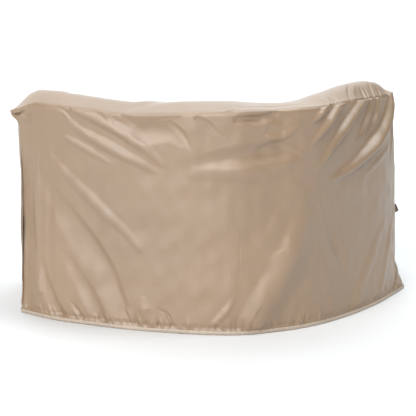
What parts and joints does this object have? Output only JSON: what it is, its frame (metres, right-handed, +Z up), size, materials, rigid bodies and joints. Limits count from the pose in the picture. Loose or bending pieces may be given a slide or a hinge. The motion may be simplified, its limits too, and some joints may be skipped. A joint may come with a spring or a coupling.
{
  "type": "outdoor sofa cover",
  "caption": "Fitted cloth cover for a bow-backed two-seat sofa, with a sloping top, a bowed back wall, gathered hem binding and a webbing grab handle on one end.",
  "frame": {"origin": "middle of the cover's box, on the floor", "axes": "+Z up, +X along the width towards the plain end, +Y towards the bowed back"},
  "size_m": [1.6294, 0.9452, 0.8882],
  "materials": {
    "woven_cloth": "smooth coated polyester with a soft sheen",
    "gathered_tape": "gathered polyester tape with a soft sheen",
    "dark_webbing": "matte ribbed webbing"
  },
  "bodies": {
    "root": {"top_panel": "woven_cloth", "back_wall": "woven_cloth", "handle_end_panel": "woven_cloth", "plain_end_panel": "woven_cloth", "front_wall": "woven_cloth", "hem_binding": "gathered_tape", "grab_handle": "dark_webbing"}
  },
  "joints": []
}
